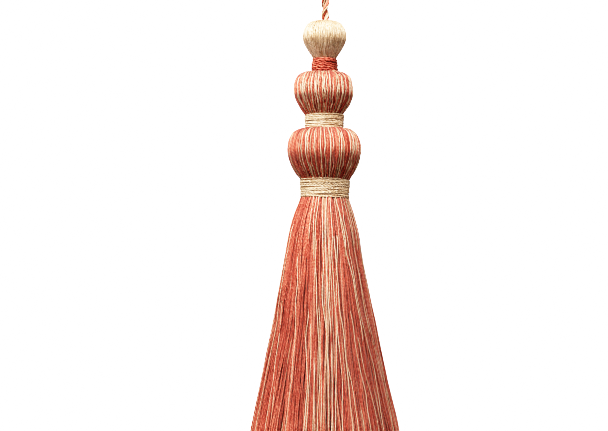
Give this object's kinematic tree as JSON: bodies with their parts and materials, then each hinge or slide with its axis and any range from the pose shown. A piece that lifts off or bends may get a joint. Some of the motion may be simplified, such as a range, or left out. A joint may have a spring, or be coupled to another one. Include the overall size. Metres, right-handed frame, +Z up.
{
  "type": "hanging key tassel",
  "caption": "Yarn tassel: twisted hanging cord with a loop, a stack of yarn-covered balls parted by wound bands, and a long flared skirt of coral and cream yarn.",
  "frame": {"origin": "inside top of the cord's loop, where the tassel hangs from a hook or knob", "axes": "+Z up along the hanging line, +X to the right and -Y towards the viewer as pictured"},
  "size_m": [0.0798, 0.0798, 0.2681],
  "materials": {
    "cream_yarn": "cream yarn with a soft silky lustre, wound or laid close",
    "coral_yarn": "coral red plied yarn, matt with a soft sheen, with single cream yarns among it",
    "blend_yarn": "coral and cream yarns laid side by side, about half of each"
  },
  "bodies": {
    "root": {"hanging_cord": "blend_yarn", "cord_loop": "blend_yarn", "top_ball": "cream_yarn", "neck_wrap": "coral_yarn", "middle_ball": "blend_yarn", "upper_band": "cream_yarn", "lower_ball": "coral_yarn", "lower_band": "cream_yarn", "skirt": "coral_yarn"}
  },
  "joints": []
}
